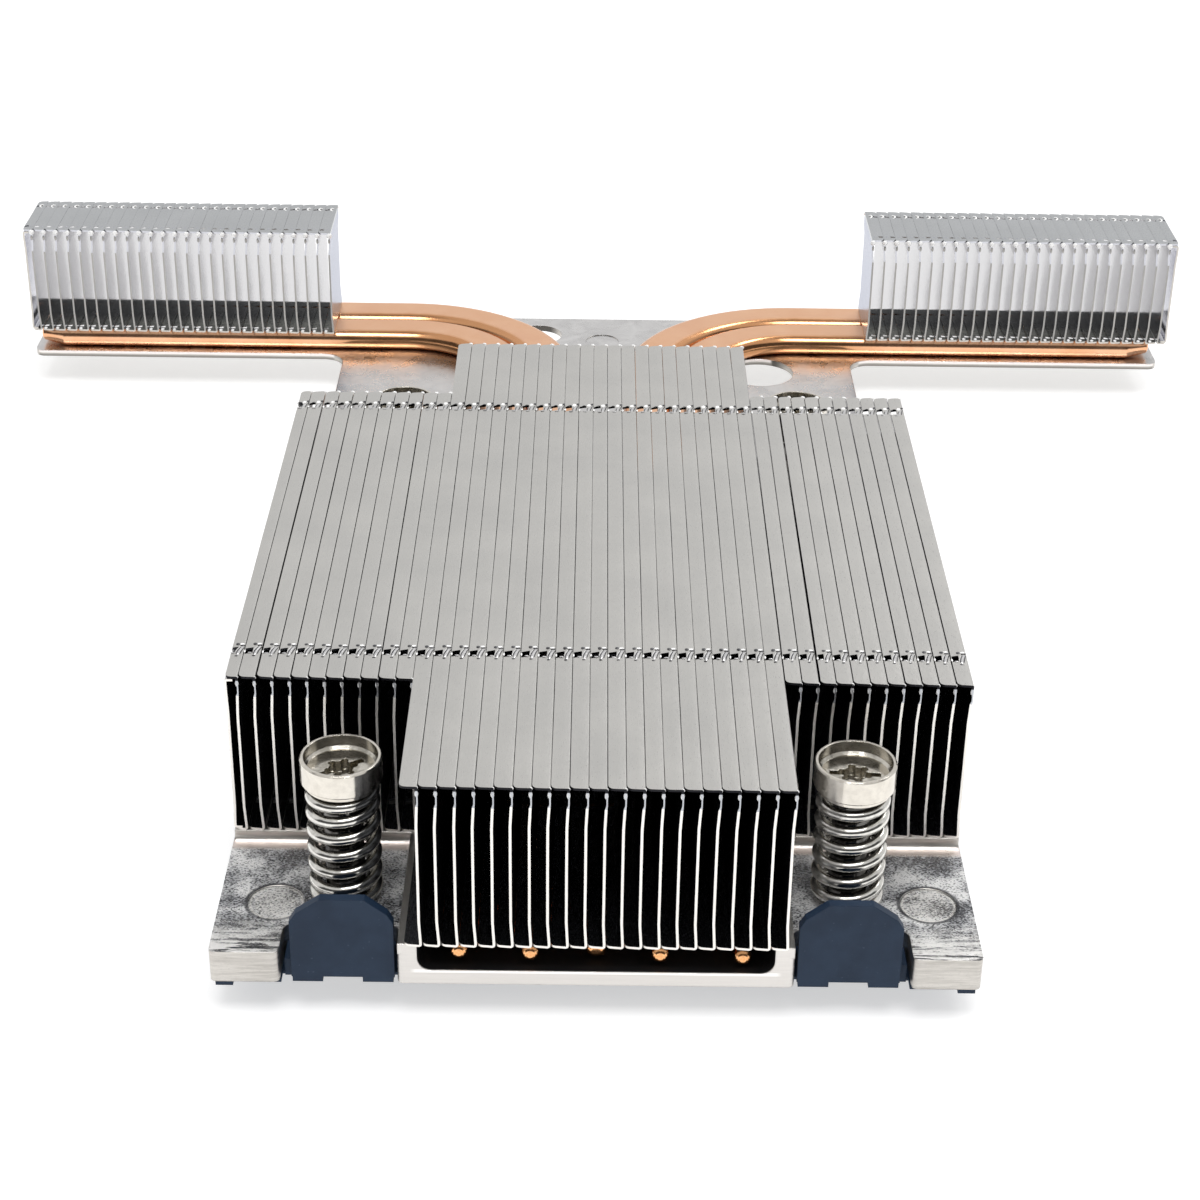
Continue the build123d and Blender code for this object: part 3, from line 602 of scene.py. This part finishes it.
def fin(b, xk, side, reach, y0, y1, z0, z1, rows, seed, outer=False, wing=False, last=False):
    """One folded fin as a closed sheet: flanges with rounded corners, tight
    bends, a web with two long steps, interlock windows and the hooks beside
    them."""
    rnd = random.Random(seed)
    zt = z1 - SINK + rnd.uniform(-0.02, 0.0)
    zb_ = z0 + 0.01
    R = reach + (rnd.uniform(0.002, 0.011) if wing else rnd.choice((-0.02, -0.01, 0.0, -0.04, -0.12)) + rnd.uniform(-0.015, 0.01))
    if not wing and abs(xk) < 21.6:
        R = reach + rnd.uniform(0.008, 0.020)
    rt = 0.06 if wing else RT
    h = zt - zb_
    za = z0 + (3.1 if wing else 3.3) + rnd.uniform(-0.15, 0.15)
    zc = z1 - (3.9 if wing else 5.1) + rnd.uniform(-0.15, 0.15)
    s0 = 1.15 if wing else 0.98
    s0 = min(s0, R - 0.70)
    j = JOG + rnd.uniform(-0.02, 0.02)
    tip = rnd.uniform(-0.04, 0.005) if wing or abs(xk) > 21.6 else rnd.uniform(-0.10, -0.05)
    cols = []  # outer u, outer z, inner u, inner z, tag
    lip = (R, R - 0.07, R - 0.18, R - 0.36, R - 0.55, s0)

    def flat(u, z, top):
        cols.append((u, z, u, z - T if top else z + T, "F"))

    for u in lip:
        flat(u, zb_, False)
    for i in range(4):
        a = math.radians(30 * i)
        cols.append((RO - RO * math.sin(a), zb_ + RO - RO * math.cos(a), RO - (RO - T) * math.sin(a), zb_ + RO - (RO - T) * math.cos(a), "B"))
    thin = T if wing else 0.55 * T  # the webs are coined thin under their corners
    steps = ((0.0, zb_ + 0.6, T), (0.02, zb_ + 1.0, T), (j, za, T), (j, (za + zc) / 2, T), (j, zc, T), (0.03, zc + (1.2 if wing else 2.5), T), (0.0, zt - (2.0 if wing else 2.1), thin), (0.0, zt - 1.35, thin), (0.0, zt - 0.55, T))
    for u, z, w in steps:
        cols.append((u, z, u + w, z, "W"))
    for i in range(3, -1, -1):
        a = math.radians(30 * i)
        cols.append((rt - rt * math.sin(a), zt - rt + rt * math.cos(a), T + RI - RI * math.sin(a), zt - T - RI + RI * math.cos(a), "B"))
    for u in reversed(lip):
        flat(u, zt, True)
    n = len(cols)
    web0 = 10                 # first web column
    web1 = web0 + len(steps)  # first column of the top bend
    nf = len(lip)
    # slices along Y: (y, kind)
    hw = 0.34 if wing else 0.62
    ys = [(y0, "front"), (y0 + 1.35, "")]
    for r in rows:
        k = 1.2 if not wing and r > 0 else 1.0
        ys += [(r - hw * k, "row"), (r + hw * k, "row")]
    gap = 3.0 if wing else 2.6
    ys += [(float(q), "") for q in range(int(y0) + 7, int(y1) - 5, 13) if min(abs(q - r) for r in rows) > gap]
    ys += [(y1 - 1.35, ""), (y1, "rear")]
    ys.sort(key=lambda q: q[0])
    m = len(ys)
    wob = [rnd.uniform(-0.03, 0.01) if k == "" else 0.0 for _, k in ys]
    lean = rnd.uniform(-0.03, 0.03)
    ca, cb = 0.55, 0.62

    def back(u):
        """How far the sheet's end recedes at reach u."""
        q = 0.22 * max(0.0, u - RO) / max(R, 0.5)
        if u > R - ca:
            e = min(1.0, (u - (R - ca)) / ca)
            q += cb * (1 - math.sqrt(max(0.0, 1 - e * e)))
        return q

    V = []
    for k, (y, kind) in enumerate(ys):
        for i, (ou, oz, iu, iz, tag) in enumerate(cols):
            yy, du = y, 0.0
            if tag == "F":
                if kind == "front":
                    yy = y + back(ou)
                elif kind == "rear":
                    yy = y - back(ou)
                elif kind == "row":
                    yy = y - 0.28 * (ou - 1.35)
                if ou > R - 0.2:
                    du = wob[k]
            lx = lean * math.sin(math.pi * (oz - zb_) / h)
            dz = tip * ou / max(R, 0.5) if tag == "F" and i > n // 2 else 0.0
            V.append((xk + side * (ou + du + lx), yy, oz + dz))
            V.append((xk + side * (iu + du + lx), yy, iz + dz))
    F, MI = [], []

    def vo(i, k):
        return (k * n + i) * 2

    def vi(i, k):
        return (k * n + i) * 2 + 1

    def window(i, k):
        # between R - 0.07 and s0, both flanges
        if not (1 <= i <= 4 or n - 6 <= i <= n - 3):
            return False
        mid = (ys[k][0] + ys[k + 1][0]) / 2
        return any(abs(mid - r) < 0.3 for r in rows)

    def hole(i, k):
        if not (0 <= i < n - 1 and 0 <= k < m - 1):
            return True
        return window(i, k)

    def wall(i, k, di, dk):
        """Material of the cut face on this side of a cell."""
        inside = 0 <= i + di < n - 1 and 0 <= k + dk < m - 1
        if inside or di:
            return M_IN
        if i < nf + 3:                       # bottom flange and bend
            return M_NECK if wing and dk < 0 else M_EDGE
        if i >= web1 - 1:                    # top bend and flange
            if wing:
                return M_SIDE
            return M_LIP if dk < 0 else M_EDGE
        if dk > 0:
            return M_EDGE
        if not wing:
            return M_EDGE if i < web1 - 4 else M_NECK
        return M_EDGE if i < web1 - 5 else M_SIDE

    for k in range(m - 1):
        for i in range(n - 1):
            if hole(i, k):
                continue
            a_, c_ = cols[i][4], cols[i + 1][4]
            if a_ == "W" and c_ == "W":
                om = M_SIDE if outer else M_IN
            else:
                om = M_TOP
            F.append([vo(i, k), vo(i + 1, k), vo(i + 1, k + 1), vo(i, k + 1)])
            MI.append(om)
            F.append([vi(i, k), vi(i, k + 1), vi(i + 1, k + 1), vi(i + 1, k)])
            MI.append(M_LIP if wing and i < nf + 3 else M_LAST if wing and last and om == M_IN else M_IN)
            for di, dk, a, c in ((-1, 0, (i, k), (i, k + 1)), (1, 0, (i + 1, k), (i + 1, k + 1)), (0, -1, (i, k), (i + 1, k)), (0, 1, (i, k + 1), (i + 1, k + 1))):
                if hole(i + di, k + dk):
                    F.append([vo(*a), vi(*a), vi(*c), vo(*c)])
                    MI.append(wall(i, k, di, dk))
    base = len(b.v)
    b.v.extend(V)
    for f, mi in zip(F, MI):
        b.f.append([q + base for q in f])
        b.mi.append(mi)
    c = 0.5 * T
    # the M_DOT beads are painted highlights on the fin corners; the small M_EDGE bead under a wing's front dot is a
    # painted shade smear
    if wing:
        q = rnd.uniform(0.92, 1.06)
        bead(b, (xk + side * c, y0 + 0.06, zt - 0.46), (0.44 * q, 0.36, 0.44 * q), M_DOT, 12, 7)
        bead(b, (xk + side * (c + 0.06), y0 + 0.00, zt - 1.42), (0.18, 0.08, 0.46), M_EDGE, 8, 5)
        bead(b, (xk + side * (c + 0.02), y1 - 0.20, zt - 0.36), (0.30, 0.28, 0.30), M_BRIGHT, 10, 5)
        bead(b, (xk + side * min(0.85 if side > 0 else 1.40, R - 0.34), y0 + 0.28, zb_ + T + 0.12), (0.31, 0.26, 0.20), M_DOT, 8, 5)
    else:
        q = rnd.uniform(0.9, 1.1)
        bead(b, (xk + side * c, y0 + 0.19, zt - 0.22), (0.21 * q, 0.17, 0.21 * q), M_DOT, 10, 6)
        bead(b, (xk + side * c, y0 + 0.14, zt - 0.90 - rnd.uniform(0, 0.08)), (0.205, 0.13, 0.42 * q), M_DOT, 10, 6)
        bead(b, (xk + side * (c + 0.05), y1 + 0.04, zt - 0.18), (0.33 * q, 0.28, 0.25), M_DOT, 10, 6)
    for r in rows:
        rear = r > sum(rows) / len(rows)
        if wing:
            wing_hook(b, xk, side, r, z1, R, rnd, rear)
        elif rear:
            rear_hook(b, xk, side, r, z1, R, rnd)
        else:
            front_hook(b, xk, side, r, z1, R, rnd)


STACK_HW, NOSE_HW = 41.85, 20.75
p_left, p_mid, p_right = (STACK_HW - NOSE_HW) / 10.8, 2 * NOSE_HW / 21, (STACK_HW - NOSE_HW) / 11
left = [(-NOSE_HW - (11 - k) * p_left, p_left) for k in range(1, 12)]
left[0] = (left[0][0], left[0][0] + STACK_HW + 0.04)
mid = [(-NOSE_HW + (k - 11) * p_mid, p_mid) for k in range(12, 33)]
right = [(NOSE_HW + (k - 32) * p_right, p_right) for k in range(33, 44)]
ROWS, WROWS = (-31.2, 36.1), (112.0, 121.7)
FIN_MATS = [FIN, FIN_WEB_SHADE, FIN_EDGE, BRIGHT, FIN_SIDE, FIN_UPPER_EDGE_SHADE, SHADE, FIN_LIP, HIGHLIGHT_DOT, FIN_SIDE]
WING_MATS = [WING_TOP, WING_IN, WING_EDGE_SHADE, BRIGHT, WING_SIDE, WING_LINE, SHADE, WING_FOOT_SHADE, HIGHLIGHT_DOT, WING_LAST]

for name, cells, ya, yb in (
    ("side_fins_left", left, -37.1, 40.8),
    ("centre_fins", mid, -58.85, 58.45),
    ("side_fins_right", right, -37.1, 40.8),
):
    b = Build()
    for i, (x, p) in enumerate(cells):
        last = name != "side_fins_left" and i == len(cells) - 1
        fin(b, x, -1, p - 0.03, ya, yb, 6.3, 27.0, ROWS, 100 + i + 50 * len(name), outer=last)
    b.done(name + "_sheet", FIN_MATS, "root", node=name)

WIN, WOUT, WN, WP = 44.85, 95.65, 26, 1.968
for s, name in ((-1, "wing_fins_left"), (1, "wing_fins_right")):
    b = Build()
    for i in range(WN):
        u = WIN + i * WP
        reach = min(WP, WOUT - u) - 0.014
        fin(b, s * u, s, reach, 110.35, 124.2, 6.3, 24.3, WROWS, 900 + i + (60 if s > 0 else 0), outer=i == 0, wing=True, last=i == WN - 1)
    b.done(name + "_sheet", WING_MATS, "root", node=name)


def end_fin(name, node, x, side, y0, y1, z0, z1, mats, edge):
    """Shallow channel that closes a row of fins, its outer face at x."""
    b = Build()
    e0, e1 = z0 + T + 0.06, z1 - SINK - T - 0.06
    lip, r = 0.95, 0.36
    j0, j1 = e0 + 3.2, e1 - (3.4 if edge == M_NECK else 4.4)
    cols = [(lip, e0, lip, e0 + T)]
    for i in range(4):
        a = math.radians(30 * i)
        cols.append((r - r * math.sin(a), e0 + r - r * math.cos(a), r - (r - T) * math.sin(a), e0 + r - (r - T) * math.cos(a)))
    cols += [(0, e0 + 0.8, T, e0 + 0.8), (0.09, j0, T + 0.09, j0), (0.09, j1, T + 0.09, j1), (0, e1 - 1.2, T, e1 - 1.2)]
    for i in range(3, -1, -1):
        a = math.radians(30 * i)
        cols.append((r - r * math.sin(a), e1 - r + r * math.cos(a), r - (r - T) * math.sin(a), e1 - r + (r - T) * math.cos(a)))
    cols.append((lip, e1, lip, e1 - T))
    n = len(cols)
    k1 = max(1, int((y1 - y0) / 20))
    ysl = [y0, y0 + 0.3] + [y0 + (y1 - y0) * i / (k1 + 1) for i in range(1, k1 + 1)] + [y1 - 0.3, y1]
    for y in ysl:
        for ou, oz, iu, iz in cols:
            b.v += [(x - side * ou, y, oz), (x - side * iu, y, iz)]
    for k in range(len(ysl) - 1):
        for i in range(n - 1):
            a, c = (k * n + i) * 2, (k * n + i + 1) * 2
            d, e = ((k + 1) * n + i) * 2, ((k + 1) * n + i + 1) * 2
            b.f += [[a, c, e, d], [a + 1, d + 1, e + 1, c + 1]]
            b.mi += [M_SIDE, M_LAST if edge == M_NECK else M_IN]
            if k == 0:
                b.f.append([a, a + 1, c + 1, c]); b.mi.append(edge)
            if k == len(ysl) - 2:
                b.f.append([d, e, e + 1, d + 1]); b.mi.append(edge)
            if i == 0:
                b.f.append([a, d, d + 1, a + 1]); b.mi.append(M_IN)
            if i == n - 2:
                b.f.append([c, c + 1, e + 1, e]); b.mi.append(M_IN)
    b.done(name, mats, "root", node=node)


end_fin("end_fin_sheet", "end_fin", -STACK_HW, -1, -37.1, 40.8, 6.3, 27.0, FIN_MATS, M_EDGE)
end_fin("wing_end_fin_left_sheet", "wing_end_fin_left", -WOUT, -1, 110.35, 124.2, 6.3, 24.3, WING_MATS, M_NECK)
end_fin("wing_end_fin_right_sheet", "wing_end_fin_right", WOUT, 1, 110.35, 124.2, 6.3, 24.3, WING_MATS, M_NECK)


# --------------------------------------------------------------------- springs
def spring(name, node, cx, cy, turn):
    """Compression spring with closed, ground end coils."""
    wire, rad = 0.65, 3.5
    z0, z1 = 4.97, 19.47
    rise = (z1 - z0) - 2 * wire
    n_mid = (rise - 2.6) / 2.25
    turns = n_mid + 2.0
    seg, ns = 44, 14

    def height(q):
        if q < 1:
            return 0.35 * q + 0.95 * q * q
        if q > turns - 1:
            w = turns - q
            return rise - (0.35 * w + 0.95 * w * w)
        return 1.3 + 2.25 * (q - 1)

    total = int(turns * seg)
    v, f = [], []
    for i in range(total + 1):
        q = turns * i / total
        a = turn + 2 * math.pi * q
        zc = z0 + wire + height(q)
        slope = math.atan2((height(min(q + 0.01, turns)) - height(max(q - 0.01, 0))) / 0.02, 2 * math.pi * rad)
        rv = Vector((math.cos(a), math.sin(a), 0))
        tv = Vector((-math.sin(a) * math.cos(slope), math.cos(a) * math.cos(slope), math.sin(slope)))
        uv = tv.cross(rv) * -1
        c = Vector((cx + rad * math.cos(a), cy + rad * math.sin(a), zc))
        for k in range(ns):
            t = 2 * math.pi * k / ns
            p = c + rv * (wire * math.cos(t)) + uv * (wire * math.sin(t))
            # the ends are ground flat
            p.z = min(max(p.z, z0 + 0.12), z1 - 0.12)
            v.append((p.x, p.y, p.z))
    for i in range(total):
        for k in range(ns):
            k2 = (k + 1) % ns
            f.append([i * ns + k, i * ns + k2, (i + 1) * ns + k2, (i + 1) * ns + k])
    f.append(list(range(ns)))
    f.append([total * ns + k for k in range(ns)][::-1])
    b = Build()
    b.add(v, f, 0)
    ob = b.done(name, [WIRE], "root", sharp=50, node=node)
    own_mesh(ob)
    return ob


for fy, fn in ((-1, "front"), (1, "rear")):
    for gx, gn in ((-1, "left"), (1, "right")):
        spring(f"coil_spring_{fn}_{gn}", f"spring_{fn}_{gn}", 28.0 * gx, 47.0 * fy, math.radians(200 + 40 * gx))


# ------------------------------------------------------------- carried-over CAD
def dress(node, mat):
    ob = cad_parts[node]
    ob.data.materials.clear()
    ob.data.materials.append(mat)


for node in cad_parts:
    if node == "base_casting":
        dress(node, CAST)
    elif node.startswith("heat_pipe"):
        dress(node, COPPER)
    elif node == "carrier_frame":
        dress(node, PLASTIC)
    elif node.startswith("captive_screw"):
        dress(node, SCREW)
    elif node.startswith("retaining_ring"):
        dress(node, RING)
    elif node.startswith("spring"):
        dress(node, WIRE)
    else:
        dress(node, FIN)


# ------------------------------------------------------- floor, light and camera
def paper():
    m = Mat("studio_floor", (0.86, 0.86, 0.86), 0.0, 0.9)
    m.p.inputs["Specular IOR Level"].default_value = 0.0
    m.p.inputs["Emission Color"].default_value = (1.0, 1.0, 1.0, 1)
    m.p.inputs["Emission Strength"].default_value = 0.56
    g = m.noise(0.02, 2.0, 0.5)
    m.set(color=m.mix(m.span(g, 0.3, 0.7), (0.61, 0.61, 0.61), (0.63, 0.63, 0.63)))
    return m.m


fm = bpy.data.meshes.new("floor")
S, ZF = 6.0, -3.5 * MM
fm.from_pydata([(-S, -S, ZF), (S, -S, ZF), (S, S, ZF), (-S, S, ZF)], [], [[0, 1, 2, 3]])
fm.materials.append(paper())
floor = bpy.data.objects.new("floor", fm)
scene.collection.objects.link(floor)


def studio():
    """White room behind and above the part, a dark one before it."""
    world = bpy.data.worlds.new("studio")
    scene.world = world
    world.use_nodes = True
    t = world.node_tree
    bg = t.nodes["Background"]
    tc = t.nodes.new("ShaderNodeTexCoord")
    sep = t.nodes.new("ShaderNodeSeparateXYZ")
    t.links.new(tc.outputs["Generated"], sep.inputs[0])

    def span(x, a, b, c, d):
        n = t.nodes.new("ShaderNodeMapRange")
        n.interpolation_type = "SMOOTHSTEP"
        for key, v in (("From Min", a), ("From Max", b), ("To Min", c), ("To Max", d)):
            n.inputs[key].default_value = v
        t.links.new(x, n.inputs["Value"])
        return n.outputs[0]

    def op(kind, a, b):
        n = t.nodes.new("ShaderNodeMath")
        n.operation = kind
        for i, v in enumerate((a, b)):
            if hasattr(v, "links"):
                t.links.new(v, n.inputs[i])
            else:
                n.inputs[i].default_value = v
        return n.outputs[0]

    y, z = sep.outputs["Y"], sep.outputs["Z"]
    room = span(z, 0.62, 0.80, 0.80, 0.72)
    dark = op("MULTIPLY", span(y, -0.15, 0.05, 1.0, 0.0), op("MULTIPLY", span(z, 0.0, 0.05, 0.0, 1.0), span(z, 0.58, 0.68, 1.0, 0.0)))
    room = op("MULTIPLY", room, span(z, 0.92, 0.98, 1.0, 0.45))
    t.links.new(op("MULTIPLY", room, op("SUBTRACT", 1.0, op("MULTIPLY", dark, 0.90))), bg.inputs["Strength"])
    bg.inputs["Color"].default_value = (1.0, 1.0, 1.0, 1)


studio()


def softbox(name, loc, target, size, power, color=(1, 1, 1)):
    li = bpy.data.lights.new(name, "AREA")
    li.shape = "RECTANGLE"
    li.size, li.size_y = size
    li.energy = power
    li.color = color
    ob = bpy.data.objects.new(name, li)
    scene.collection.objects.link(ob)
    ob.location = loc
    ob.rotation_mode = "QUATERNION"
    ob.rotation_quaternion = (Vector(target) - Vector(loc)).to_track_quat("-Z", "Y")
    return ob


softbox("key", (0.0, -0.28, 0.85), (0, 0.08, 0), (0.50, 0.40), 4.2)
softbox("back", (0.40, 0.45, 0.80), (0, 0.03, 0), (0.30, 0.20), 1.5)

cam = bpy.data.cameras.new("camera")
cam.sensor_width = 36.0
cam.lens = 2418.773 / 1200 * 36.0
cam.clip_start, cam.clip_end = 0.01, 50.0
co = bpy.data.objects.new("camera", cam)
scene.collection.objects.link(co)
yaw, pitch, roll = (math.radians(a) for a in (0.259, -28.963, 0.818))
fwd = Vector((math.sin(yaw) * math.cos(pitch), math.cos(yaw) * math.cos(pitch), math.sin(pitch)))
rt = fwd.cross(Vector((0, 0, 1))).normalized()
upv = rt.cross(fwd)
r_ = rt * math.cos(roll) + upv * math.sin(roll)
u_ = rt * -math.sin(roll) + upv * math.cos(roll)
m3 = Matrix((r_, u_, -fwd)).transposed()
co.matrix_world = Matrix.Translation(Vector((-1.078, -268.528, 165.322)) * MM) @ m3.to_4x4()
scene.camera = co

scene.cycles.glossy_bounces = 7
scene.cycles.diffuse_bounces = 3
scene.view_settings.view_transform = "Standard"
scene.view_settings.look = "None"
scene.view_settings.exposure = 0.0
scene.view_settings.gamma = 1.0

bpy.context.view_layer.update()
